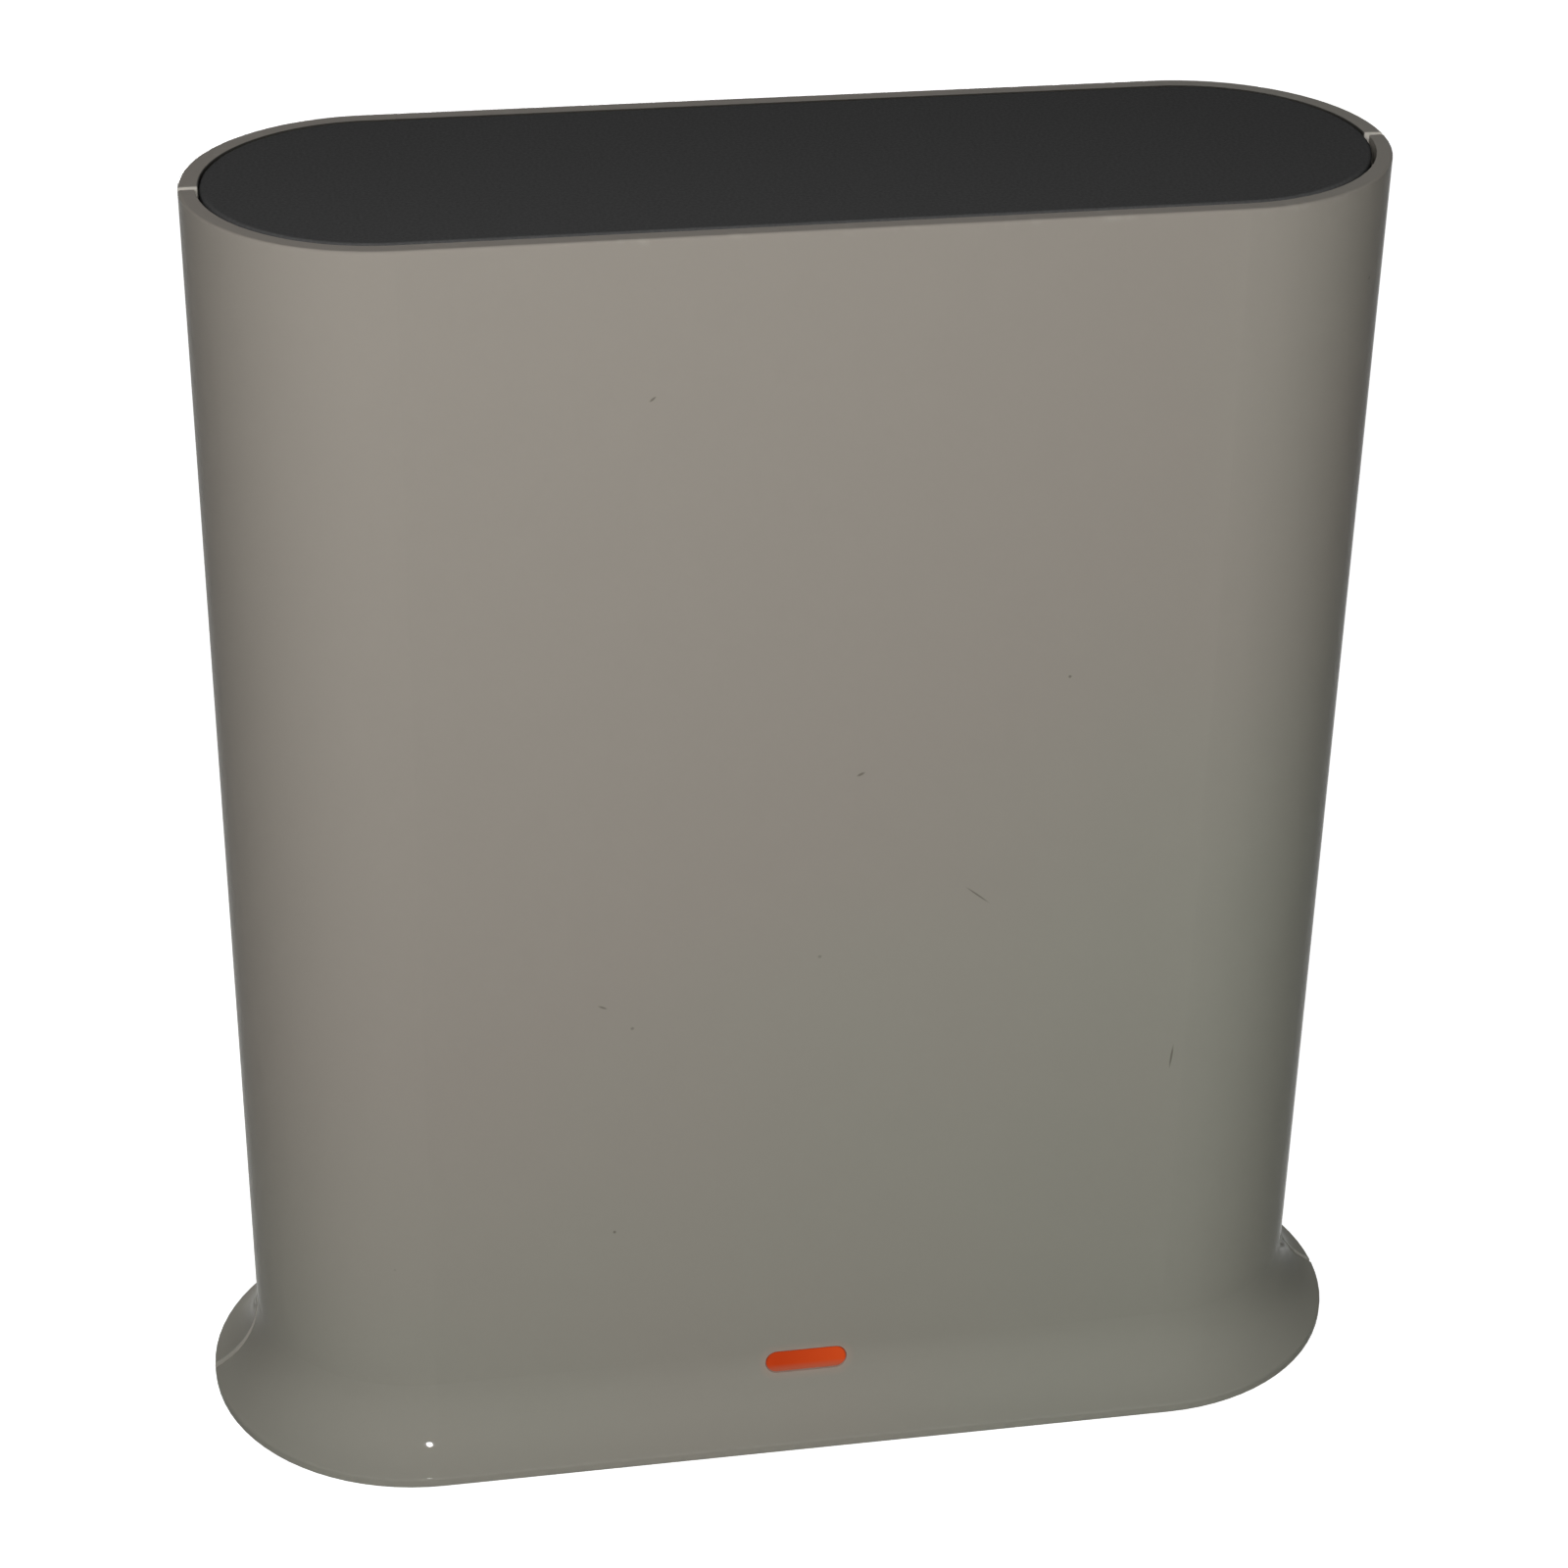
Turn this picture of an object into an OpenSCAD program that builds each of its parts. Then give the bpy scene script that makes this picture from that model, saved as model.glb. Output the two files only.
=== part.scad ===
// Security camera base station: an upright hub with a capsule-shaped body, a flared foot,
// a cover set into the top, a status light in front and a port panel behind.
// Millimetres. +Z is up, the front faces -Y, and the origin is on the ground under the middle.

/* [Body] */
// Overall height, from the ground to the rim
height = 133.2; // [125:0.1:145]
// Width over the rim
body_w = 112.8; // [110:0.1:122]
// Depth over the rim
body_d = 36.1; // [35.5:0.1:42]
// Lean of the walls towards the foot, in degrees
draft = 0.3; // [0.1:0.05:0.6]
// Wall of the two shells
wall = 1.8; // [1.6:0.1:2.2]
// Open gap along the parting line of the shells
seam = 0.7; // [0.4:0.05:0.9]
// Length of the tongue that laps inside the front shell
lap_len = 2.0; // [1.5:0.1:3]
// Clearance round the tongue
lap_clear = 0.15; // [0.1:0.05:0.25]

/* [Foot] */
// Radius of the hollow curve above the foot
flare_r = 9.6; // [7:0.1:11]
// How far that curve runs out beyond the wall
flare_reach = 4.5; // [4:0.1:5.2]
// Height of the lip under the curve
lip_h = 1.4; // [1:0.1:1.8]
// Rounding of the lip
lip_round = 0.4; // [0.2:0.1:0.4]
// Thickness of the base plate
base_t = 2.4; // [2.2:0.1:3]
// Clearance round the base plate
base_gap = 0.2; // [0.1:0.05:0.4]
// Length of a rubber foot
foot_l = 16; // [12:0.5:20]
// Width of a rubber foot
foot_w = 6; // [5:0.5:7]
// Depth of the pocket that a foot is glued into
foot_pocket = 0.8; // [0.6:0.1:1]
// How far the feet stand below the lip
foot_proud = 0.4; // [0.3:0.1:0.8]

/* [Rim and cover] */
// Thickness of the front rim
rim_front = 1.5; // [1.2:0.05:1.6]
// Thickness of the rear rim
rim_rear = 1.85; // [1.65:0.05:2]
// Rounding of the rim's outer edge
rim_round = 0.25; // [0.15:0.05:0.4]
// Gap between the cover and the rear rim
cover_gap = 0.1; // [0.1:0.05:0.4]
// Depth of the cover below the rim
cover_recess = 0; // [0:0.05:0.4]
// Thickness of the cover
cover_t = 2.0; // [1.6:0.1:2.5]
// Rounding of the cover's edge
cover_round = 0.35; // [0.2:0.05:0.6]
// Width of the ledge that carries the cover
ledge_w = 1.4; // [1.2:0.1:1.8]
// Thickness of that ledge
ledge_t = 1.5; // [1.2:0.1:2]
// Wall of the cover's skirt
skirt_t = 1.2; // [1:0.1:1.6]
// Reach of the snap hooks under the ledge
hook_reach = 0.6; // [0.4:0.1:0.8]

/* [Status light] */
// Length of the light slot
light_l = 8.6; // [7:0.1:10]
// Height of the light slot
light_h = 2.5; // [2:0.1:3]
// Height of the slot's middle above the ground
light_z = 8.55; // [8.3:0.05:10]
// Clearance round the light pipe
light_gap = 0.1; // [0.05:0.05:0.2]
// Rim of the flange behind the wall
light_flange = 1.8; // [1.2:0.1:2.5]
// Thickness of that flange
light_flange_t = 1.2; // [1:0.1:2]

/* [Ports] */
// Width of the port window
port_w = 62; // [61:0.5:63]
// Height of the port window
port_h = 20; // [18:0.5:24]
// Height of the window's middle above the ground
port_z = 20; // [19:0.5:26]
// Corner radius of the window
port_r = 3; // [2:0.5:5]
// Depth of the panel's face below the shell
port_recess = 0.6; // [0.4:0.1:1]
// Thickness of the panel's plate behind the wall
panel_t = 1.6; // [1.4:0.1:2]
// Border of that plate above and below the window
panel_border = 2.0; // [1.5:0.1:2.4]
// Border of that plate beside the window
panel_ear = 5.0; // [4.6:0.1:5.4]
// Clearance round the panel and round each connector
port_gap = 0.2; // [0.15:0.05:0.3]
// Diameter of the pairing button
button_d = 6.6; // [5.5:0.1:7.5]
// How far the button stands out of the panel
button_proud = 0.5; // [0.3:0.1:1]
// Travel of the button
button_travel = 0.5; // [0.3:0.05:0.7]
// Running clearance of the button
button_gap = 0.15; // [0.1:0.05:0.25]
// Diameter of the reset pinhole
pinhole_d = 1.6; // [1.4:0.1:2]

/* [Electronics] */
// Thickness of the main board
board_t = 1.6; // [1.2:0.2:2]
// Place of the board's rear face behind the middle
board_y = 2.0; // [1.5:0.1:2.5]
// Room left between the board and the side walls
board_edge = 3.2; // [2.5:0.1:4]
// Height of the board's lower edge above the base plate
board_lift = 2.0; // [1:0.1:3]
// Room left above the board for the antennas
antenna_room = 17; // [15:0.5:22]
// Diameter of a screw's thread
screw_d = 2.2; // [2:0.1:2.6]
// Diameter of a screw's head
screw_head_d = 4.6; // [4.2:0.1:5]
// Thickness of a screw's head
screw_head_t = 1.4; // [1.2:0.1:1.5]
// Clearance round a screw
screw_gap = 0.05; // [0.04:0.01:0.1]
// Diameter of a screw boss
boss_d = 6.4; // [5.6:0.1:7]
// Side of the heat sink
sink_w = 50; // [40:1:54]
// Number of heat sink fins
sink_fins = 9; // [6:1:11]

/* [Hidden] */
$fn = 64;
// Overlap that joins pieces of one solid, and the overrun of a cut
bite = 0.5;
// Hairline left between two faces that rest on each other at a slant
rest_gap = 0.02;

// Shell, in the profile plane: radius from the spine line against height
spine = body_w - body_d;
base_z = foot_proud;
flare_h = sqrt(pow(flare_r, 2) - pow(flare_r - flare_reach, 2));
flare_z = base_z + lip_h + flare_h;
// The curve's upper end sinks this far into the wall, so that the two meet without a step
flare_sink = 0.001;
flare_c = wall_r(flare_z) + flare_r - flare_sink;
lip_r = wall_r(flare_z) + flare_reach + lip_round;
// Centre of the lip's upper rounding, just above the place where it would touch the curve
lip_run = flare_c - lip_r + lip_round;
lip_c = flare_z - sqrt(pow(flare_r + lip_round, 2) - pow(lip_run, 2)) + lip_round * 0.03;
lip_mid = flare_c - lip_run * flare_r / (flare_r + lip_round);
plate_z = base_z + base_t;
cover_top = height - cover_recess;
ledge_z = cover_top - cover_t;
cover_r = wall_r(height) - rim_rear - cover_gap;
ledge_r = cover_r - ledge_w;
hook_z = ledge_z - ledge_t - 0.15;
hook_h = 1.2;
hook_w = 6;

// Board
board_front = board_y - board_t;
board_low = plate_z + board_lift;
board_high = ledge_z - antenna_room;
board_w = spine + 2 * (inner_r(board_low) - board_edge);
board_corner = 3;
board_screw_x = spine / 2 - boss_d / 2 - 1;
board_screw_inset = 8.5;
board_screw_z = [board_low + board_screw_inset, board_high - board_screw_inset];
thread_l = 6.5;

// Base screws stand in the corners of the straight part
base_screw_x = max(spine / 2 + 2.5, port_w / 2 + panel_ear + boss_d / 2 + 0.8);
base_screw_y = inner_r(plate_z) - boss_d / 2 - 1;
base_boss_roof = 3;
base_boss_top = plate_z + thread_l + base_boss_roof;
base_head_pocket = screw_head_t + 0.1;
base_head_gap = 0.3;
foot_x = base_screw_x - screw_head_d / 2 - base_head_gap - 1.5 - foot_l / 2;
foot_y = inner_r(base_z) - foot_w;

// Ports
panel_low = port_z - port_h / 2 - panel_border;
panel_back = inner_r(panel_low) - rest_gap;
panel_face = wall_r(port_z) - port_recess;
stake_d = 2;
stake_x = port_w / 2 + panel_ear / 2 + 0.6;
ethernet_w = 16;
ethernet_h = 13.4;
ethernet_sheet = 0.35;
ethernet_in_w = ethernet_w - 2 * ethernet_sheet;
ethernet_in_h = ethernet_h - 2 * ethernet_sheet;
ethernet_depth = 12.5;
usb_w = 13.2;
usb_h = 5.8;
usb_sheet = 0.35;
usb_tongue_t = 1.84;
usb_tongue_w = 11.1;
usb_depth = 9;
dc_w = 9;
dc_h = 11;
dc_bore = 6.4;
dc_pin = 2.1;
dc_depth = 10;
switch_w = 6;
// The sockets and switches share the window with equal spaces between them
port_space = (port_w - dc_w - ethernet_w - usb_w - switch_w - button_d) / 6;
dc_x = -port_w / 2 + port_space + dc_w / 2;
ethernet_x = dc_x + dc_w / 2 + port_space + ethernet_w / 2;
usb_x = ethernet_x + ethernet_w / 2 + port_space + usb_w / 2;
reset_x = usb_x + usb_w / 2 + port_space + switch_w / 2;
sync_x = reset_x + switch_w / 2 + port_space + button_d / 2;
connector_face = panel_face - 0.1;
connector_l = connector_face - board_y;

// Lamp on the board
led_w = 3.5;
led_h = 2.8;
led_base = 1.2;
led_t = 1.8;
led_lens = 2.2;
led_gap = 0.3;

// Push switches
switch_h = 3.6;
switch_bore = 3.6;
plunger_d = 3.4;
plunger_slack = 0.2;
sync_plunger_h = 5;
reset_plunger_h = 6.5;
sync_plunger_top = board_y + sync_plunger_h;
reset_plunger_top = board_y + reset_plunger_h;
stem_d = 4;
button_flange = 0.9;
button_flange_t = 1.1;
guide_wall = 1.2;
guide_l = 3;
pin_guide_bore = 2.4;

// Heat path and parts on the board
chip_w = 19;
chip_t = 1.6;
pad_t = 0.8;
sink_base = 2.5;
sink_fin_t = 1.4;
sink_drop = 14;
sink_z = board_high - sink_drop - sink_w / 2;
sink_y = board_y + chip_t + pad_t;
sink_air = 1;
sink_fin_h = inner_r(sink_z - sink_w / 2) - sink_air - sink_y - sink_base;
part_row_rise = 7.5;
part_row_z = port_z + port_h / 2 + part_row_rise;
part_space = 3;
memory_w = 9;
memory_l = 13;
memory_t = 1.1;
memory_pitch = 18;
memory_space = 4.5;
transformer_w = 15;
transformer_l = 9;
transformer_h = 5.6;
capacitor_d = 6.3;
capacitor_h = 7.7;
capacitor_foot = 6.6;
capacitor_foot_t = 0.8;
capacitor_pitch = 8;
inductor_w = 7;
inductor_h = 4;
inductor_pitch = 10;
shield_w = 16;
shield_l = 34;
shield_h = 3;
shield_t = 0.4;
shield_space = 5;
antenna_t = 0.4;
antenna_arm = 24;
antenna_arm_h = 4;
antenna_leg = 2.4;
antenna_legs_apart = 7;
antenna_solder = 4;
antenna_top_room = 6;
antenna_side_room = 2;
antenna_x = [-1, 0, 1] * (board_w / 2 - antenna_side_room - antenna_arm / 2);

// Outer and inner radius of the leaning wall at a height
function wall_r(z) = body_d / 2 - (height - z) * tan(draft);
function inner_r(z) = wall_r(z) - wall;

// Helpers

// Rounds off the corner at p, whose material lies towards sx and sy
module corner_cut(p, r, sx, sy) {
    translate(p)
        mirror([sx < 0 ? 1 : 0, 0])
            mirror([0, sy < 0 ? 1 : 0])
                difference() {
                    translate([-bite, -bite]) square(r + bite);
                    translate([r, r]) circle(r);
                }
}

// Sweeps a profile of radius and height round the rear half of the capsule
module sweep_rear() {
    translate([spine / 2, 0, 0]) rotate_extrude(angle = 90) children();
    translate([-spine / 2, 0, 0]) rotate([0, 0, 90]) rotate_extrude(angle = 90) children();
    translate([-spine / 2, 0, 0]) rotate([90, 0, 90]) linear_extrude(spine) children();
}

module sweep_front() {
    mirror([0, 1, 0]) sweep_rear() children();
}

// Solid with the capsule outline, radius r, standing on z
module capsule(r, z, h) {
    translate([0, 0, z]) linear_extrude(h) slot2d(spine + 2 * r, 2 * r);
}

module slot2d(l, w) {
    square([l - w, w], center = true);
    for (s = [-1, 1]) translate([s * (l - w) / 2, 0]) circle(d = w);
}

module round_rect(w, h, r) {
    square([w - 2 * r, h], center = true);
    square([w, h - 2 * r], center = true);
    for (sx = [-1, 1], sy = [-1, 1])
        translate([sx * (w / 2 - r), sy * (h / 2 - r)]) circle(r);
}

// Extrudes an outline drawn in X and Z from y0 to y1
module along_y(y0, y1) {
    translate([0, y1, 0]) rotate([90, 0, 0]) linear_extrude(y1 - y0) children();
}

module rod_y(x, z, d, y0, y1) {
    translate([x, y1, z]) rotate([90, 0, 0]) cylinder(d = d, h = y1 - y0);
}

// Box centred on x and z that stands between y0 and y1
module block_y(x, z, w, h, y0, y1) {
    translate([x - w / 2, y0, z - h / 2]) cube([w, y1 - y0, h]);
}

// Shells

// Section of a shell's wall, with its foot, ledge and rim
module shell_section(rim) {
    rim_in = wall_r(height) - rim;
    under = ledge_z - ledge_t;
    difference() {
        union() {
            polygon([
                [inner_r(base_z), base_z], [wall_r(base_z), base_z],
                [wall_r(height), height], [inner_r(height), height]
            ]);
            difference() {
                translate([inner_r(base_z) + wall / 2, base_z])
                    square([lip_r - inner_r(base_z) - wall / 2, flare_z - base_z]);
                translate([flare_c, flare_z]) circle(flare_r);
            }
            translate([ledge_r, under])
                square([inner_r(under) + wall / 2 - ledge_r, ledge_t]);
            translate([rim_in, ledge_z])
                square([rim - rim_round - bite, height - ledge_z]);
        }
        translate([ledge_r - bite, ledge_z]) square([rim_in - ledge_r + bite, height]);
        corner_cut([lip_r, base_z], lip_round, -1, 1);
        difference() {
            translate([lip_mid, lip_c]) square(2 * lip_round);
            translate([lip_r - lip_round, lip_c]) circle(lip_round);
        }
        corner_cut([wall_r(height), height], rim_round, -1, -1);
    }
}

// Strip inside the wall, between two heights, for the lap joint
module lap_section(r0, r1) {
    low = plate_z + 1;
    high = ledge_z - ledge_t - 1;
    polygon([
        [inner_r(low) + r0, low], [inner_r(low) + r1, low],
        [inner_r(high) + r1, high], [inner_r(high) + r0, high]
    ]);
}

// The lap strip swept from the parting plane, over the given arc lengths behind and in front
module lap(r0, r1, behind, ahead) {
    a0 = behind / body_d * 360 / PI;
    a1 = ahead / body_d * 360 / PI;
    translate([spine / 2, 0, 0])
        rotate([0, 0, -a1]) rotate_extrude(angle = a0 + a1) lap_section(r0, r1);
    translate([-spine / 2, 0, 0])
        rotate([0, 0, 180 - a0]) rotate_extrude(angle = a0 + a1) lap_section(r0, r1);
}

// Removes the half of the parting gap that lies on a shell's side
module seam_cut() {
    cube([2 * body_w, seam, 3 * height], center = true);
}

// Bosses for the two base screws of one shell, on the side that s gives
module base_bosses(s) {
    rib_end = inner_r(plate_z) + wall / 4;
    for (x = [-1, 1] * base_screw_x)
        difference() {
            union() {
                translate([x, s * base_screw_y, plate_z])
                    cylinder(d = boss_d, h = base_boss_top - plate_z);
                translate([x - wall / 2, s > 0 ? base_screw_y : -rib_end, plate_z])
                    cube([wall, rib_end - base_screw_y, base_boss_top - plate_z]);
            }
            translate([x, s * base_screw_y, plate_z - bite])
                cylinder(d = screw_d + 2 * screw_gap, h = thread_l + 1 + bite);
        }
}

module board_bosses() {
    for (x = [-1, 1] * board_screw_x, z = board_screw_z)
        difference() {
            rod_y(x, z, boss_d, -inner_r(z) - wall / 2, board_front);
            rod_y(x, z, screw_d + 2 * screw_gap, board_front - thread_l - 1, board_front + bite);
        }
}

module front_shell() {
    color("darkgray") {
        difference() {
            sweep_front() shell_section(rim_front);
            seam_cut();
            lap(-bite, wall / 2 + lap_clear, bite, lap_len + lap_clear);
            along_y(-body_d, -inner_r(light_z) + bite)
                translate([0, light_z]) slot2d(light_l, light_h);
        }
        base_bosses(-1);
        board_bosses();
    }
}

module rear_shell() {
    color("darkgray") {
        difference() {
            sweep_rear() shell_section(rim_rear);
            seam_cut();
            along_y(inner_r(port_z) - 2 * bite, body_d)
                translate([0, port_z]) round_rect(port_w, port_h, port_r);
        }
        lap(lap_clear, wall / 2, lap_len, lap_len);
        base_bosses(1);
        for (x = [-1, 1] * stake_x)
            rod_y(x, port_z, stake_d, panel_back - panel_t - bite, inner_r(port_z) + wall / 2);
    }
}

// Covers

module top_cover() {
    skirt_r = ledge_r - 0.3;
    color("dimgray") {
        for (m = [0, 1])
            mirror([0, m, 0])
                sweep_rear()
                    difference() {
                        translate([0, ledge_z]) square([cover_r, cover_t]);
                        corner_cut([cover_r, cover_top], cover_round, -1, -1);
                    }
        difference() {
            capsule(skirt_r, hook_z - hook_h, ledge_z - hook_z + hook_h + cover_t / 4);
            capsule(skirt_r - skirt_t, hook_z - hook_h - bite, ledge_z - hook_z + hook_h + bite);
        }
        for (x = [-1, 0, 1] * spine / 3, m = [0, 1])
            mirror([0, m, 0])
                translate([x - hook_w / 2, skirt_r - skirt_t / 2, hook_z - hook_h])
                    cube([hook_w, skirt_t / 2 + hook_reach, hook_h]);
    }
}

module base_plate() {
    r = inner_r(base_z) - base_gap;
    vents = 7;
    vent_pitch = 5;
    vent_w = 2;
    vent_l = 2 * (foot_y - foot_w / 2 - 2);
    head_d = screw_head_d + 2 * base_head_gap;
    color("gray")
        difference() {
            capsule(r, base_z, base_t);
            for (x = [-1, 1] * base_screw_x, y = [-1, 1] * base_screw_y)
                translate([x, y, base_z]) {
                    translate([0, 0, -bite]) cylinder(d = screw_d + 0.6, h = base_t + 2 * bite);
                    translate([0, 0, -bite]) cylinder(d = head_d, h = base_head_pocket + bite);
                }
            for (x = [-1, 1] * foot_x, y = [-1, 1] * foot_y)
                translate([x, y, base_z - bite])
                    linear_extrude(foot_pocket + bite) slot2d(foot_l + 0.2, foot_w + 0.2);
            for (i = [0 : vents - 1])
                translate([(i - (vents - 1) / 2) * vent_pitch, 0, base_z - bite])
                    linear_extrude(base_t + 2 * bite) rotate(90) slot2d(vent_l, vent_w);
        }
}

module rubber_feet() {
    color("black")
        for (x = [-1, 1] * foot_x, y = [-1, 1] * foot_y)
            translate([x, y, 0]) linear_extrude(foot_proud + foot_pocket) slot2d(foot_l, foot_w);
}

// Pan-head screw with its head's seat at the origin and its thread along +Z
module screw(l) {
    translate([0, 0, -screw_head_t])
        difference() {
            cylinder(d = screw_head_d, h = screw_head_t);
            for (a = [0, 90])
                rotate(a) translate([-screw_head_d * 0.3, -0.35, -bite])
                    cube([screw_head_d * 0.6, 0.7, screw_head_t / 2 + bite]);
        }
    cylinder(d = screw_d, h = l);
}

module base_screws() {
    color("silver")
        for (x = [-1, 1] * base_screw_x, y = [-1, 1] * base_screw_y)
            translate([x, y, base_z + base_head_pocket]) screw(thread_l);
}

module board_screws() {
    color("silver")
        for (x = [-1, 1] * board_screw_x, z = board_screw_z)
            translate([x, board_y, z]) rotate([90, 0, 0]) screw(thread_l + board_t - 1);
}

// Status light

module light_pipe() {
    inside = -inner_r(light_z + light_h / 2 + light_flange) + rest_gap;
    tilt = asin(max(0, flare_z - light_z) / flare_r);
    face = -wall_r(light_z) - flare_r * (1 - cos(tilt)) + 0.05;
    color("orangered") {
        difference() {
            along_y(face - light_h / 2, board_front - led_t - led_gap)
                translate([0, light_z]) slot2d(light_l - 2 * light_gap, light_h - 2 * light_gap);
            translate([0, face, light_z])
                rotate([-tilt, 0, 0])
                    translate([-light_l, -2 * light_h, -2 * light_h])
                        cube([2 * light_l, 2 * light_h, 4 * light_h]);
        }
        along_y(inside + 0.05, inside + light_flange_t)
            translate([0, light_z + 0.3])
                slot2d(light_l + 2 * light_flange, light_h + 2 * light_flange - 0.6);
    }
}

module status_led() {
    color("ivory") {
        block_y(0, light_z, led_w, led_h, board_front - led_base, board_front);
        rod_y(0, light_z, led_lens, board_front - led_t, board_front - led_base);
    }
}

// Port panel and pairing button

module port_panel() {
    hole_back = panel_back - panel_t - guide_l - bite;
    flange_d = button_d + 2 * button_flange;
    color("dimgray")
        difference() {
            union() {
                along_y(panel_back - panel_t, panel_back)
                    translate([0, port_z])
                        round_rect(port_w + 2 * panel_ear, port_h + 2 * panel_border, port_r);
                along_y(panel_back - bite, panel_face)
                    translate([0, port_z])
                        round_rect(port_w - 2 * port_gap, port_h - 2 * port_gap, port_r - port_gap);
                rod_y(sync_x, port_z, flange_d + 2 * (button_gap + guide_wall),
                      panel_back - panel_t - guide_l, panel_back - panel_t + bite);
                rod_y(reset_x, port_z, pin_guide_bore + 2 * guide_wall,
                      reset_plunger_top + 0.6, panel_back - panel_t + bite);
            }
            block_y(ethernet_x, port_z, ethernet_w + 2 * port_gap, ethernet_h + 2 * port_gap,
                    hole_back, body_d);
            block_y(usb_x, port_z, usb_w + 2 * port_gap, usb_h + 2 * port_gap, hole_back, body_d);
            block_y(dc_x, port_z, dc_w + 2 * port_gap, dc_h + 2 * port_gap, hole_back, body_d);
            rod_y(sync_x, port_z, button_d + 2 * button_gap, hole_back, body_d);
            rod_y(sync_x, port_z, flange_d + 2 * button_gap, hole_back, panel_back);
            rod_y(reset_x, port_z, pinhole_d, hole_back, body_d);
            rod_y(reset_x, port_z, pin_guide_bore, 0, panel_back);
            for (x = [-1, 1] * stake_x)
                rod_y(x, port_z, stake_d + 2 * port_gap, hole_back, body_d);
        }
}

module sync_button() {
    top = panel_face + button_proud;
    flange_y = panel_back - rest_gap;
    color("gray") {
        rod_y(sync_x, port_z, button_d, flange_y - button_flange_t, top - 0.4);
        translate([sync_x, top - 0.4, port_z]) rotate([-90, 0, 0])
            cylinder(d1 = button_d, d2 = button_d - 0.8, h = 0.4);
        rod_y(sync_x, port_z, button_d + 2 * button_flange, flange_y - button_flange_t, flange_y);
        rod_y(sync_x, port_z, stem_d, sync_plunger_top + rest_gap, flange_y - button_flange_t + bite);
    }
}

// Push switch body on the board, with the well that its plunger runs in
module switch_body(x) {
    color("dimgray")
        difference() {
            block_y(x, port_z, switch_w, switch_w, board_y, board_y + switch_h);
            rod_y(x, port_z, switch_bore, board_y + 1, board_y + switch_h + bite);
        }
}

module switch_plunger(x, top) {
    color("black") rod_y(x, port_z, plunger_d, board_y + 1 + button_travel + plunger_slack, top);
}

// Board and what stands on it

module main_board() {
    mid = (board_low + board_high) / 2;
    color("darkgreen")
        difference() {
            along_y(board_front, board_y)
                translate([0, mid]) round_rect(board_w, board_high - board_low, board_corner);
            for (x = [-1, 1] * board_screw_x, z = board_screw_z)
                rod_y(x, z, screw_d + 0.6, board_front - bite, board_y + bite);
        }
}

module processor() {
    color("black") block_y(0, sink_z, chip_w, chip_w, board_y, board_y + chip_t);
}

module memory_chips() {
    color("black")
        for (z = [-1, 1] * memory_pitch / 2)
            block_y(-sink_w / 2 - memory_space - memory_w / 2, sink_z + z, memory_w, memory_l,
                    board_y, board_y + memory_t);
}

module thermal_pad() {
    color("lightgray") block_y(0, sink_z, chip_w, chip_w, board_y + chip_t, sink_y);
}

module heat_sink() {
    pitch = (sink_w - sink_fin_t) / (sink_fins - 1);
    color("silver") {
        block_y(0, sink_z, sink_w, sink_w, sink_y, sink_y + sink_base);
        for (i = [0 : sink_fins - 1])
            block_y(-sink_w / 2 + sink_fin_t / 2 + i * pitch, sink_z, sink_fin_t, sink_w,
                    sink_y + sink_base - bite, sink_y + sink_base + sink_fin_h);
    }
}

// Pressed tin lid over the radio circuits
module radio_shield() {
    x = sink_w / 2 + shield_space + shield_w / 2;
    color("silver")
        difference() {
            block_y(x, sink_z, shield_w, shield_l, board_y, board_y + shield_h);
            block_y(x, sink_z, shield_w - 2 * shield_t, shield_l - 2 * shield_t,
                    board_y - bite, board_y + shield_h - shield_t);
        }
}

// Stamped aerial soldered to the board's top edge: two legs and a long arm
module antenna(x) {
    rise = antenna_room - antenna_top_room;
    color("gold")
        along_y(board_y, board_y + antenna_t)
            translate([x, board_high]) {
                translate([-antenna_arm / 2, rise - antenna_arm_h])
                    square([antenna_arm, antenna_arm_h]);
                for (dx = [0, antenna_legs_apart])
                    translate([dx - antenna_arm / 2, -antenna_solder])
                        square([antenna_leg, rise + antenna_solder - antenna_arm_h / 2]);
            }
}

module ethernet_transformer() {
    color("black")
        block_y(ethernet_x, part_row_z, transformer_w, transformer_l, board_y, board_y + transformer_h);
}

module capacitors() {
    color("slategray")
        for (i = [0 : 2]) {
            x = ethernet_x - transformer_w / 2 - part_space - capacitor_foot / 2 - i * capacitor_pitch;
            rod_y(x, part_row_z, capacitor_d, board_y + capacitor_foot_t, board_y + capacitor_h);
            block_y(x, part_row_z, capacitor_foot, capacitor_foot, board_y, board_y + capacitor_foot_t);
        }
}

module inductors() {
    color("dimgray")
        for (i = [0 : 2]) {
            x = ethernet_x + transformer_w / 2 + part_space + inductor_w / 2 + i * inductor_pitch;
            block_y(x, part_row_z, inductor_w, inductor_w, board_y, board_y + inductor_h);
        }
}

// Network socket

module ethernet_shield() {
    color("silver")
        difference() {
            block_y(ethernet_x, port_z, ethernet_w, ethernet_h, board_y, connector_face);
            block_y(ethernet_x, port_z, ethernet_in_w, ethernet_in_h,
                    board_y - bite, connector_face + bite);
        }
}

// Plug cavity, with the stepped slot for the plug's latch below it
plug_w = 11.8;
plug_h = 7.2;
plug_top = 4.6;
latch_steps = [[6.2, 1.4], [3.4, 2.6]];

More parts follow.
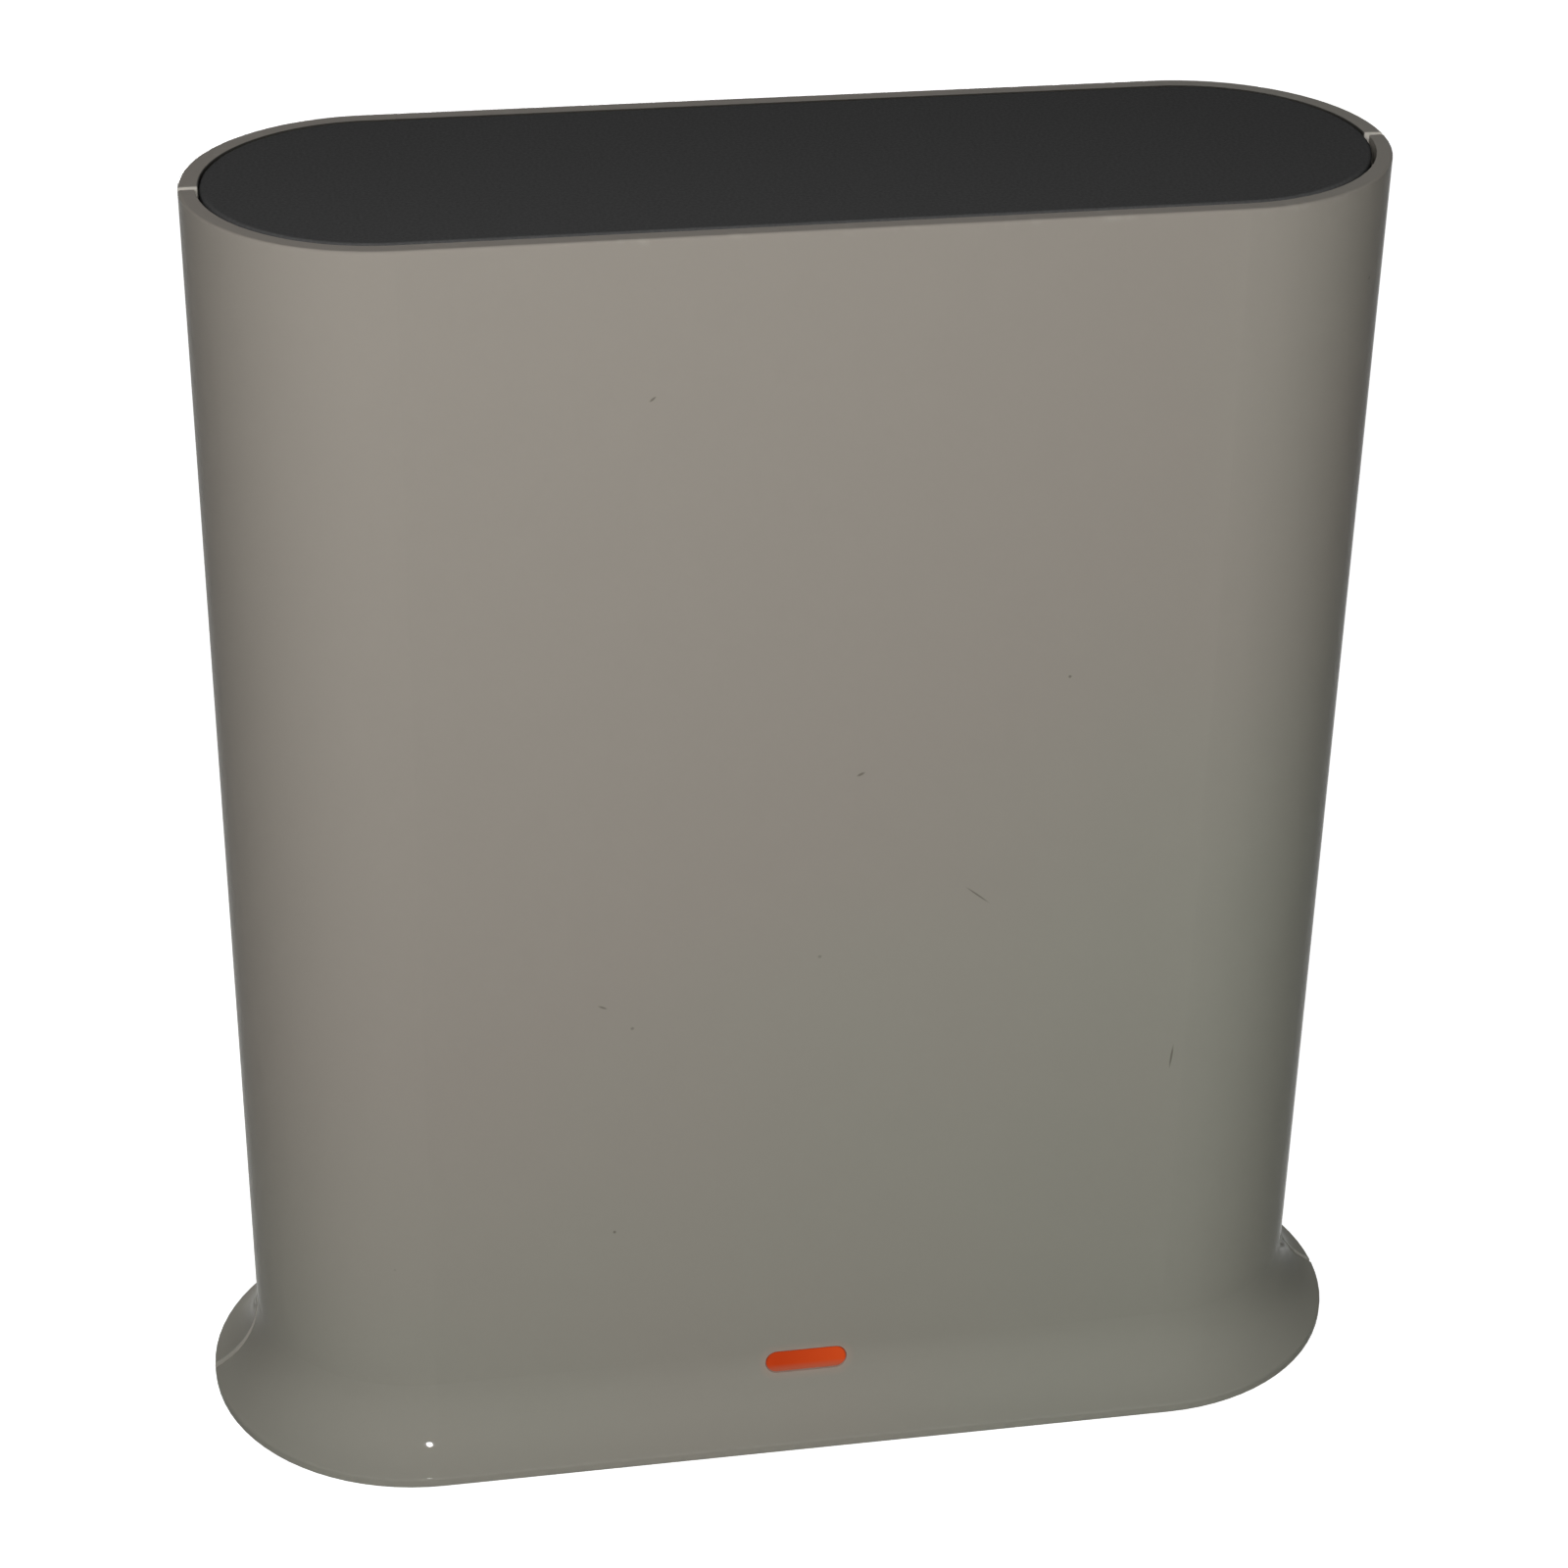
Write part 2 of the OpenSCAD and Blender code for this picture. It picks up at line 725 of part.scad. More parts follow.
module ethernet_insert() {
    low = connector_face - ethernet_depth;
    color("black")
        difference() {
            block_y(ethernet_x, port_z, ethernet_in_w, ethernet_in_h,
                    board_y, connector_face - 0.2);
            translate([ethernet_x, 0, port_z + plug_top]) {
                block_y(0, -plug_h / 2, plug_w, plug_h, low, body_d);
                for (s = latch_steps)
                    block_y(0, -plug_h / 2 - s[1] / 2, s[0], plug_h + s[1], low, body_d);
            }
        }
}

module ethernet_contacts() {
    pitch = 1.02;
    wire = 0.45;
    drop = 1.8;
    near = connector_face - 3;
    far = connector_face - ethernet_depth;
    top = port_z + plug_top;
    color("gold")
        for (i = [0 : 7])
            translate([ethernet_x + (i - 3.5) * pitch + wire / 2, 0, 0])
                rotate([0, -90, 0]) linear_extrude(wire)
                    polygon([
                        [top, near], [top, near - wire],
                        [top - drop, far], [top - drop - wire, far], [top - wire, near]
                    ]);
}

// USB socket

module usb_shell() {
    color("silver")
        difference() {
            block_y(usb_x, port_z, usb_w, usb_h, board_y, connector_face);
            block_y(usb_x, port_z, usb_w - 2 * usb_sheet, usb_h - 2 * usb_sheet,
                    board_y - bite, connector_face + bite);
        }
}

module usb_tongue() {
    inside_h = usb_h - 2 * usb_sheet;
    color("black") {
        block_y(usb_x, port_z, usb_w - 2 * usb_sheet, inside_h, board_y, connector_face - usb_depth);
        block_y(usb_x, port_z + inside_h / 2 - 0.4 - usb_tongue_t / 2, usb_tongue_w, usb_tongue_t,
                connector_face - usb_depth - bite, connector_face - 0.6);
    }
}

module usb_contacts() {
    face = port_z + usb_h / 2 - usb_sheet - 0.4 - usb_tongue_t;
    color("gold")
        for (x = [-3.5, -1, 1, 3.5])
            block_y(usb_x + x, face - 0.1, 1.2, 0.2, connector_face - usb_depth, connector_face - 1.4);
}

// Power socket

module dc_jack_body() {
    color("black")
        difference() {
            block_y(dc_x, port_z, dc_w, dc_h, board_y, connector_face);
            rod_y(dc_x, port_z, dc_bore, connector_face - dc_depth, connector_face + bite);
        }
}

module dc_jack_pin() {
    color("silver")
        rod_y(dc_x, port_z, dc_pin, connector_face - dc_depth, connector_face - 0.8);
}

front_shell();
rear_shell();
top_cover();
base_plate();
rubber_feet();
base_screws();
port_panel();
sync_button();
light_pipe();
status_led();
main_board();
board_screws();
processor();
memory_chips();
thermal_pad();
heat_sink();
radio_shield();
antenna(antenna_x[0]);  // antenna_left
antenna(antenna_x[1]);  // antenna_middle
antenna(antenna_x[2]);  // antenna_right
ethernet_transformer();
capacitors();
inductors();
ethernet_shield();
ethernet_insert();
ethernet_contacts();
usb_shell();
usb_tongue();
usb_contacts();
dc_jack_body();
dc_jack_pin();
switch_body(sync_x);  // sync_switch
switch_plunger(sync_x, sync_plunger_top);  // sync_plunger
switch_body(reset_x);  // reset_switch
switch_plunger(reset_x, reset_plunger_top);  // reset_plunger
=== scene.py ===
# %% [markdown]
# # An upright hub for wireless cameras
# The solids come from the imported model, in metres, with the front facing -Y.
# Each step below is about one finish or one light, and says why it is made that way.

# %% Load the frame
from math import cos, pi, radians, sin

import bpy
from mathutils import Matrix, Vector


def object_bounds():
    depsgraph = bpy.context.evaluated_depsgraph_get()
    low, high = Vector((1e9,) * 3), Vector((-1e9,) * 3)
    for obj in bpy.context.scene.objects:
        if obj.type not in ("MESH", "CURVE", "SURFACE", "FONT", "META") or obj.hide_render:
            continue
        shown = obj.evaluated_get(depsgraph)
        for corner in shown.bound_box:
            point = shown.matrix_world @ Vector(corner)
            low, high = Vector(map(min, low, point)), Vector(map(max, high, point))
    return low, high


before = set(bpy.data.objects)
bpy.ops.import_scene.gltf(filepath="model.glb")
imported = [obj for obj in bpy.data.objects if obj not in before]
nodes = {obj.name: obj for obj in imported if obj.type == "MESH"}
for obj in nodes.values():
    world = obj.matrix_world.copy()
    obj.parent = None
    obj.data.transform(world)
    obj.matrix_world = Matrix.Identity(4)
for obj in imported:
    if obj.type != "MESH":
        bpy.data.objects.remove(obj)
cad_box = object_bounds()
MM = 0.001
height = cad_box[1][2]
print("nodes:", len(nodes), "height in mm:", round(height / MM, 1))

# %% [markdown]
# ## Colours and nodes
# A colour that is read off a picture is an sRGB value, while a shader works in linear light.
# One function turns a hex value into linear numbers, so that every colour below can be
# written the way a picture program shows it. A shader could be drawn by hand in the node
# editor. Here one function adds each node with its links, socket values and settings, so that
# the whole shader can be read as text.

# %% Helpers for colours and nodes
def linear(hex_colour):
    parts = [int(hex_colour[i:i + 2], 16) / 255 for i in (1, 3, 5)]
    return tuple(c / 12.92 if c <= 0.04045 else ((c + 0.055) / 1.055) ** 2.4 for c in parts) + (1.0,)


def add(tree, kind, links=None, values=None, **settings):
    """Adds a node. links and values name its sockets, and settings its properties."""
    node = tree.nodes.new("ShaderNode" + kind)
    for key, value in settings.items():
        setattr(node, key, value)
    for socket, value in (values or {}).items():
        node.inputs[socket].default_value = value
    for socket, source in (links or {}).items():
        tree.links.new(source, node.inputs[socket])
    return node


print("mid grey is", round(linear("#808080")[0], 3), "in linear light")

# %% [markdown]
# ## Start of a finish
# Every finish starts from the Principled shader, with the colour, roughness and reflection of the
# real material. Patterns are then linked into it. They could be painted on an unwrapped picture,
# but noise in object coordinates needs no unwrapping and keeps its size in mm.

# %% Helpers for finishes
# A Mix node keeps its sockets for colours at these places
COLOUR_A, COLOUR_B, COLOUR_OUT = 6, 7, 2


def per_metre(size_mm):
    """Scale of a pattern whose cells are about size_mm across."""
    return 1 / (size_mm * MM)


def finish(name, colour, roughness, metallic=0.0, ior=1.5, specular=0.5):
    """A material with its Principled shader set up, ready for patterns to be linked into it."""
    material = bpy.data.materials.new(name)
    material.use_nodes = True
    tree = material.node_tree
    shader = tree.nodes["Principled BSDF"]
    shader.inputs["Base Color"].default_value = linear(colour)
    shader.inputs["Roughness"].default_value = roughness
    shader.inputs["Metallic"].default_value = metallic
    if not metallic:
        shader.inputs["IOR"].default_value = ior
        shader.inputs["Specular IOR Level"].default_value = specular
    place = add(tree, "TexCoord").outputs["Object"]
    return material, tree, shader, place


def two_tones(tree, factor, dark, light, low=0.3, high=0.7):
    """Colour that goes from dark to light as factor goes from low to high."""
    step = add(tree, "MapRange", {"Value": factor}, {"From Min": low, "From Max": high})
    ends = {COLOUR_A: linear(dark), COLOUR_B: linear(light)}
    return add(tree, "Mix", {"Factor": step.outputs[0]}, ends, data_type="RGBA").outputs[COLOUR_OUT]


print("a pattern of 40 mm has a scale of", round(per_metre(40), 1))

# %% [markdown]
# ## Gloss moulded ABS
# The two shells are moulded from ABS in a polished tool, so they are smooth and even. The plastic
# has an IOR of about 1.5, but in the photograph it hardly mirrors the pale table, so its
# reflection is turned far down. The colour is drawn a little warmer towards the top and the
# left. A plain gradient would look ruled, so clouds of noise 40 mm across break it up.

# %% Shell colour
abs_gloss, tree, shader, place = finish("gloss_moulded_abs", "#908c83", roughness=0.03, ior=1.5,
                                        specular=0.008)
axes = add(tree, "SeparateXYZ", {"Vector": place}).outputs
cloud = add(tree, "TexNoise", {"Vector": place}, {"Scale": per_metre(40), "Detail": 2.0})
rise = add(tree, "MapRange", {"Value": axes["Z"]}, {"From Min": 0.0, "From Max": 110 * MM})
warmth = add(tree, "Math", {0: cloud.outputs["Fac"], 1: rise.outputs[0]}, operation="ADD")
aside = add(tree, "MapRange", {"Value": axes["X"]},
            {"From Min": -10 * MM, "From Max": 45 * MM, "To Max": 0.7})
warmth = add(tree, "Math", {0: warmth.outputs[0], 1: aside.outputs[0]}, operation="SUBTRACT")
tone = two_tones(tree, warmth.outputs[0], "#908f85", "#928c84", low=0.2, high=1.0)
print("started", abs_gloss.name)

# %% [markdown]
# ## Specks of dust
# A hub that has been in use carries dark specks, about 0.3 mm across. They lie anywhere, so they
# can be the middles of Voronoi cells 11 mm wide. That takes one node, where placed
# specks would need one each.

# %% Specks
speck = add(tree, "TexVoronoi", {"Vector": place}, {"Scale": per_metre(11)})
dust = add(tree, "MapRange", {"Value": speck.outputs["Distance"]},
           {"From Min": 0.008, "From Max": 0.022, "To Min": 0.4, "To Max": 0.0})
marks = dust.outputs[0]
print("specks drawn")

# %% [markdown]
# ## Nicks and a hair
# The front also has a few small nicks and a hair. These have places of their own, which noise
# can't give. Each one is a Mapping node that shrinks space to the nick's size, so that the
# distance from its middle is 1 at its ends. That keeps the wall's mesh as it is.

# %% Nicks on the front wall
front_wall = -17.7 * MM
nick_depth = 8 * MM
# In mm: across, above the floor, half length and half width. Then the lean in degrees.
NICKS = [
    (4, 78, 0.45, 0.16, 25), (-21, 54, 0.5, 0.13, -25), (-16, 118, 0.4, 0.13, 40),
    (24, 87, 0.18, 0.18, 0), (-20, 27, 0.18, 0.2, 0), (16, 63.5, 1.6, 0.1, -40),
    (37, 42.5, 1.4, 0.14, 85),
]
for across, above, half_long, half_wide, lean in NICKS:
    local = add(tree, "Mapping", {"Vector": place},
                {"Location": (across * MM, front_wall, above * MM), "Rotation": (0, -radians(lean), 0),
                 "Scale": (half_long * MM, nick_depth, half_wide * MM)}, vector_type="TEXTURE")
    reach = add(tree, "VectorMath", {0: local.outputs[0]}, operation="LENGTH")
    nick = add(tree, "MapRange", {"Value": reach.outputs["Value"]},
               {"From Min": 0.5, "From Max": 1.1, "To Min": 0.6, "To Max": 0.0})
    marks = add(tree, "Math", {0: marks, 1: nick.outputs[0]}, operation="MAXIMUM").outputs[0]
dusty = add(tree, "Mix", {"Factor": marks, COLOUR_A: tone}, {COLOUR_B: linear("#4f4a40")},
            data_type="RGBA").outputs[COLOUR_OUT]
print("placed", len(NICKS), "nicks")

# %% [markdown]
# ## Rubbed rim
# Hands and cloths rub the top of the rim paler in places. A band by height finds the top 0.8 mm,
# and noise 3 mm across picks the places. Painting weights on the mesh would do as well, but
# it would be lost whenever the model is packed again.

# %% Rubbed places on the rim
near_top = add(tree, "MapRange", {"Value": axes["Z"]},
               {"From Min": height - 0.8 * MM, "From Max": height - 0.3 * MM})
patch = add(tree, "TexNoise", {"Vector": place}, {"Scale": per_metre(3), "Detail": 4.0})
worn = add(tree, "MapRange", {"Value": patch.outputs["Fac"]},
           {"From Min": 0.58, "From Max": 0.7, "To Max": 0.22})
rub = add(tree, "Math", {0: near_top.outputs[0], 1: worn.outputs[0]}, operation="MULTIPLY")
rubbed = add(tree, "Mix", {"Factor": rub.outputs[0], COLOUR_A: dusty}, {COLOUR_B: linear("#aaa69c")},
             data_type="RGBA").outputs[COLOUR_OUT]
print("rubbed the rim at", round(height / MM, 1), "mm")

# %% [markdown]
# ## Painted highlight along the seam
# The two halves meet at both ends with a seam 0.7 mm wide. The rear half's edge catches the light
# as a pale line beside it, more so towards the top. The edge is too small to
# catch light on its own in the render, so a band by depth paints the highlight into its colour.

# %% Painted highlight on the seam edge of the rear half
seam = 0.7 * MM
rear_edge = seam / 2
behind = add(tree, "MapRange", {"Value": axes["Y"]},
             {"From Min": rear_edge - 0.05 * MM, "From Max": rear_edge})
fading = add(tree, "MapRange", {"Value": axes["Y"]},
             {"From Min": rear_edge + 0.1 * MM, "From Max": rear_edge + 0.3 * MM,
              "To Min": 1.0, "To Max": 0.0})
seam_highlight = add(tree, "Math", {0: behind.outputs[0], 1: fading.outputs[0]}, operation="MULTIPLY")
# Painted highlight, made stronger towards the top
highlight_by_height = add(tree, "MapRange", {"Value": axes["Z"]},
              {"From Min": 20 * MM, "From Max": height - 5 * MM, "To Min": 0.22, "To Max": 0.6})
seam_highlight = add(tree, "Math", {0: seam_highlight.outputs[0], 1: highlight_by_height.outputs[0]}, operation="MULTIPLY")
# Painted highlight: the seam edge is coloured pale where light would catch it
with_seam_highlight = add(tree, "Mix", {"Factor": seam_highlight.outputs[0], COLOUR_A: rubbed}, {COLOUR_B: linear("#d6d2c8")},
            data_type="RGBA").outputs[COLOUR_OUT]
print("seam edge", round(rear_edge / MM, 2), "mm behind the middle")

# %% [markdown]
# ## Painted shade in the groove round the cover
# The rim's inner wall, down in the groove between the rim and the cover, is painted dark as shade. The plan
# is a capsule, and every point of such a wall lies at one distance from a bar along X. One function
# measures that distance. It serves the light slot too, which has the same shape.

# %% Painted shade in the groove
def from_bar(tree, place, middle, half_length, stretch=(1, 1, 1)):
    """Distance from a thin bar along X. A long stretch along an axis takes that axis out of it."""
    local = add(tree, "Mapping", {"Vector": place}, {"Location": middle, "Scale": stretch},
                vector_type="TEXTURE")
    one_side = add(tree, "VectorMath", {0: local.outputs[0]}, operation="ABSOLUTE")
    past = add(tree, "VectorMath", {0: one_side.outputs[0]}, {1: (half_length, 0, 0)}, operation="SUBTRACT")
    ahead = add(tree, "VectorMath", {0: past.outputs[0]}, operation="MAXIMUM")
    return add(tree, "VectorMath", {0: ahead.outputs[0]}, operation="LENGTH").outputs["Value"]


plan_bar = 38.35 * MM
groove_wall = 16.25 * MM
outward = from_bar(tree, place, (0, 0, 0), plan_bar, (1, 1, 1000))
inner = add(tree, "MapRange", {"Value": outward},
            {"From Min": groove_wall, "From Max": groove_wall + 0.1 * MM, "To Min": 0.9, "To Max": 0.0})
deep = add(tree, "MapRange", {"Value": axes["Z"]},
           {"From Min": height - 5 * MM, "From Max": height - 4 * MM})
# Painted shade: the rim's inner wall near the top is coloured near black
groove_shade = add(tree, "Math", {0: inner.outputs[0], 1: deep.outputs[0]}, operation="MULTIPLY")
with_groove_shade = add(tree, "Mix", {"Factor": groove_shade.outputs[0], COLOUR_A: with_seam_highlight}, {COLOUR_B: linear("#1c1c1a")},
              data_type="RGBA").outputs[COLOUR_OUT]
tree.links.new(with_groove_shade, shader.inputs["Base Color"])
print("groove", round(groove_wall / MM, 2), "mm from the bar")

# %% [markdown]
# ## Glow round the light slot
# The thin wall round the slot lets a little amber light through. Light inside the plastic could be
# traced with subsurface scattering, but that is slow and noisy. A weak emission that fades with
# the distance from the slot gives the same look.

# %% Glow of the wall
slot_middle = (0, -20 * MM, 8.55 * MM)
slot_long = 8.6 * MM
slot_tall = 2.5 * MM
slot_half = (slot_long - slot_tall) / 2
beside = from_bar(tree, place, slot_middle, slot_half, (1, 8, 1))
halo = add(tree, "MapRange", {"Value": beside},
           {"From Min": 1.2 * MM, "From Max": 2.1 * MM, "To Min": 0.07, "To Max": 0.0})
shader.inputs["Emission Color"].default_value = linear("#d8643c")
tree.links.new(halo.outputs[0], shader.inputs["Emission Strength"])
print("slot bar is", round(2 * slot_half / MM, 2), "mm long")

# %% [markdown]
# ## Handling marks
# The polish of the tool shows a small lamp as one crisp spot. Handling leaves places about 18 mm
# across that are a little duller. Noise on the roughness gives that, and leaves the colour alone.

# %% Shine of the shell
smudge = add(tree, "TexNoise", {"Vector": place}, {"Scale": per_metre(18), "Detail": 3.0})
shine = add(tree, "MapRange", {"Value": smudge.outputs["Fac"]},
            {"From Min": 0.35, "From Max": 0.65, "To Min": 0.025, "To Max": 0.035})
tree.links.new(shine.outputs[0], shader.inputs["Roughness"])
print("made", abs_gloss.name)

# %% [markdown]
# ## Fine-textured plastics
# The cover and the port panel are moulded in a tool with a spark-eroded texture, which scatters
# light. The grain could be modelled as a displaced mesh, but a bump and two close tones are
# enough at this size. The real grain is about 0.05 mm, too fine to show here, so it is drawn
# at 0.3 mm. Rubber, chip cases and sockets have the same kind of surface, with an IOR
# near 1.5, and share the function.

# %% Matt finishes
def textured(name, dark, light, roughness, grain_mm=0.3, specular=0.3):
    material, tree, shader, place = finish(name, dark, roughness, specular=specular)
    grain = add(tree, "TexNoise", {"Vector": place}, {"Scale": per_metre(grain_mm), "Detail": 2.0})
    tree.links.new(two_tones(tree, grain.outputs["Fac"], dark, light), shader.inputs["Base Color"])
    bump = add(tree, "Bump", {"Height": grain.outputs["Fac"]}, {"Strength": 0.15, "Distance": 0.05 * MM})
    tree.links.new(bump.outputs[0], shader.inputs["Normal"])
    print("made", name)
    return material


# Cover: an even dark grey from every side, because the grain breaks up all reflections
abs_dark = textured("textured_abs_dark", "#4a4a4a", "#535353", 0.6, specular=0.0)
# Port panel: nearly black with a faint sheen, so that the metal of the sockets stands out
abs_black = textured("textured_abs_black", "#1d1d1d", "#242424", 0.55)
# Base plate: the shell's plastic without its gloss
abs_base = textured("textured_abs_base", "#6c6a65", "#74726d", 0.55)
# Button: the shell's colour, a little shinier from being pressed
abs_button = textured("textured_abs_button", "#87837a", "#8f8b82", 0.4)
# Sockets and switches: black with a soft highlight along the edges
pbt_black = textured("moulded_pbt_black", "#141414", "#1b1b1b", 0.42)
# Feet: dull and dark, with a coarser grain
rubber = textured("moulded_rubber", "#161616", "#1f1f1e", 0.8, grain_mm=0.6)
# Chip cases: charcoal with a satin top
epoxy = textured("moulded_epoxy", "#1a1a1b", "#242425", 0.5)
# Heat pad: pale grey, soft and chalky from its filler
silicone = textured("filled_silicone_pad", "#8f9598", "#9aa0a3", 0.75, grain_mm=0.5)
# Lamp on the board: cream white, so that it is found at once on the green
led_white = textured("moulded_led_case", "#e2ddcd", "#ebe7da", 0.45)

# %% [markdown]
# ## Metals
# Sheet and screws are plated steel, contacts are plated brass, and the heat sink is an aluminium
# extrusion. A metal's colour is its reflection, so each one keeps the default IOR. Rolling and
# drawing leave streaks, which could be a bump. Here they vary the roughness, which stays calm on
# small edges. Real streaks are far finer, and are drawn 1.5 mm wide so that they show.

# %% Metal finishes
def metal(name, colour, roughness, stretch):
    material, tree, shader, place = finish(name, colour, roughness, metallic=1.0)
    drawn = add(tree, "Mapping", {"Vector": place}, {"Scale": stretch})
    streak = add(tree, "TexNoise", {"Vector": drawn.outputs[0]}, {"Scale": per_metre(1.5), "Detail": 2.0})
    shine = add(tree, "MapRange", {"Value": streak.outputs["Fac"]},
                {"From Min": 0.3, "From Max": 0.7, "To Min": roughness - 0.04, "To Max": roughness + 0.06})
    tree.links.new(shine.outputs[0], shader.inputs["Roughness"])
    print("made", name)
    return material


# Screws: a cool grey with blurred highlights
zinc = metal("zinc_plated_steel", "#b9babb", 0.32, stretch=(1, 1, 1))
# Shields: a bright silver, streaked along the way it was rolled
tin = metal("bright_tinplate", "#cfcfcd", 0.26, stretch=(1, 0.05, 1))
# Contacts and aerials: yellow, and the shiniest of the metals
brass = metal("gold_plated_brass", "#d9b25f", 0.25, stretch=(1, 0.05, 1))
# Heat sink: a satin grey with long streaks along the fins
aluminium = metal("extruded_aluminium", "#c9cbcc", 0.38, stretch=(1, 1, 0.03))
# Capacitors: smooth cans with a soft, slightly blue shine
can = metal("drawn_aluminium_can", "#bfc1c4", 0.3, stretch=(1, 1, 1))

# %% [markdown]
# ## Solder mask
# A circuit board is glass laminate under a thin green lacquer. Copper tracks below it show as
# slightly lighter lines. Real routing would need a picture, so a brick pattern stands in for it:
# bricks 1.5 mm wide, with the tracks as their mortar.

# %% Board finish
mask, tree, shader, place = finish("solder_mask_on_laminate", "#12492b", roughness=0.3)
turned = add(tree, "Mapping", {"Vector": place}, {"Rotation": (radians(90), 0, 0)})
tracks = add(tree, "TexBrick", {"Vector": turned.outputs[0]},
             {"Scale": per_metre(3), "Mortar Size": 0.06, "Color1": linear("#12492b"),
              "Color2": linear("#154f30"), "Mortar": linear("#2a7048")})
tree.links.new(tracks.outputs["Color"], shader.inputs["Base Color"])
print("made", mask.name)

# %% [markdown]
# ## Lit light pipe
# A milky acrylic bar carries the lamp's amber light to the slot in front. It is a little brighter
# towards one end. The lower edge is paler, and the upper edge lies in the slot's shade. A lamp
# inside clear acrylic would take long to render, so the bar itself glows in these colours.

# %% Light pipe finish
glow, tree, shader, place = finish("lit_milky_acrylic", "#4a1608", roughness=0.35, ior=1.49,
                                   specular=0.03)
axes = add(tree, "SeparateXYZ", {"Vector": place}).outputs
span = add(tree, "MapRange", {"Value": axes["X"]}, {"From Min": -slot_long / 2, "From Max": slot_long / 2})
amber = two_tones(tree, span.outputs[0], "#a6340e", "#b84218", low=0.2, high=0.95)
foot = add(tree, "MapRange", {"Value": axes["Z"]},
           {"From Min": 7.4 * MM, "From Max": 8.2 * MM, "To Min": 0.85, "To Max": 0.0})
paler = add(tree, "Mix", {"Factor": foot.outputs[0], COLOUR_A: amber}, {COLOUR_B: linear("#8c5542")},
            data_type="RGBA").outputs[COLOUR_OUT]
outward = from_bar(tree, place, slot_middle, slot_half, (1, 1000, 1))
edge = add(tree, "MapRange", {"Value": outward}, {"From Min": 1.0 * MM, "From Max": 1.2 * MM})
upper = add(tree, "MapRange", {"Value": axes["Z"]}, {"From Min": 8.2 * MM, "From Max": 8.8 * MM})
shade = add(tree, "Math", {0: edge.outputs[0], 1: upper.outputs[0]}, operation="MULTIPLY")
lit = add(tree, "Mix", {"Factor": shade.outputs[0], COLOUR_A: paler}, {COLOUR_B: linear("#5a2a18")},
          data_type="RGBA").outputs[COLOUR_OUT]
tree.links.new(lit, shader.inputs["Emission Color"])
shader.inputs["Emission Strength"].default_value = 1.0
print("made", glow.name)

# %% [markdown]
# ## Dress the solids
# The CAD solids already have the right shape. They could be rebuilt with finer meshes, but nothing
# would be gained, so each one keeps its mesh and only gets a finish.

# %% Give each node its finish
FINISHES = {
    abs_gloss: ["front_shell", "rear_shell"],
    abs_dark: ["top_cover"],
    abs_black: ["port_panel"],
    abs_base: ["base_plate"],
    abs_button: ["sync_button"],
    rubber: ["rubber_feet"],
    zinc: ["base_screws", "board_screws"],
    tin: ["radio_shield", "ethernet_shield", "usb_shell", "dc_jack_pin"],
    brass: ["antenna_left", "antenna_middle", "antenna_right", "ethernet_contacts", "usb_contacts"],
    aluminium: ["heat_sink"],
    can: ["capacitors"],
    mask: ["main_board"],
    epoxy: ["processor", "memory_chips", "ethernet_transformer", "inductors"],
    silicone: ["thermal_pad"],
    led_white: ["status_led"],
    glow: ["light_pipe"],
    pbt_black: ["ethernet_insert", "usb_tongue", "dc_jack_body", "sync_switch", "reset_switch",
                "sync_plunger", "reset_plunger"],
}
for material, names in FINISHES.items():
    for name in names:
        nodes[name].data.materials.clear()
        nodes[name].data.materials.append(material)
print("dressed", sum(len(names) for names in FINISHES.values()), "of", len(nodes))

# %% [markdown]
# ## Camera
# The viewpoint was found from the outline of the hub in the photograph: a long lens held close,
# above the hub and a little to its left, looking down at about 29 degrees. A camera can be aimed
# by a constraint, but this one also leans a little, so its three directions are given.

# %% Camera
lens = bpy.data.cameras.new("camera")
lens.sensor_width = 36
lens.lens = 86.16
camera = bpy.data.objects.new("camera", lens)
bpy.context.scene.collection.objects.link(camera)
eye = Vector((-60.7, -324.1, 251.1)) * MM
forward = Vector((0.1605, 0.8588, -0.4865)).normalized()
near_right = Vector((0.9844, -0.1754, 0.0151))
up = near_right.cross(forward).normalized()
right = forward.cross(up)
turn = Matrix((right, up, -forward)).transposed().to_4x4()
camera.matrix_world = Matrix.Translation(eye) @ turn
bpy.context.scene.camera = camera
bpy.context.scene.view_settings.view_transform = "Standard"
print("camera at", tuple(round(v, 3) for v in eye))

# %% [markdown]
# ## Floor
# The hub stands on a white table. More light would whiten the table, but the hub as well. So the
# table glows, only for rays that come straight from the camera, and still takes a soft shadow.
# Shine and glass see it at about a third, because the ends of the hub fall off to a dark grey in
# the photograph. Its paint is matt, because a reflection would throw light up at the foot.

# %% Floor
def seen_by(tree, camera_level, mirror_level, light_level):
    """Strength for what the camera sees, for what shine and glass show, and for the light it gives."""
    path = add(tree, "LightPath").outputs
    mirror = add(tree, "Math", {0: path["Is Glossy Ray"], 1: path["Is Transmission Ray"]},
                 operation="MAXIMUM")
    level = add(tree, "MapRange", {"Value": mirror.outputs[0]},
                {"To Min": light_level, "To Max": mirror_level})
    return add(tree, "Mix", {"Factor": path["Is Camera Ray"], "A": level.outputs[0]},
               {"B": camera_level}).outputs["Result"]


half_floor = 3.0
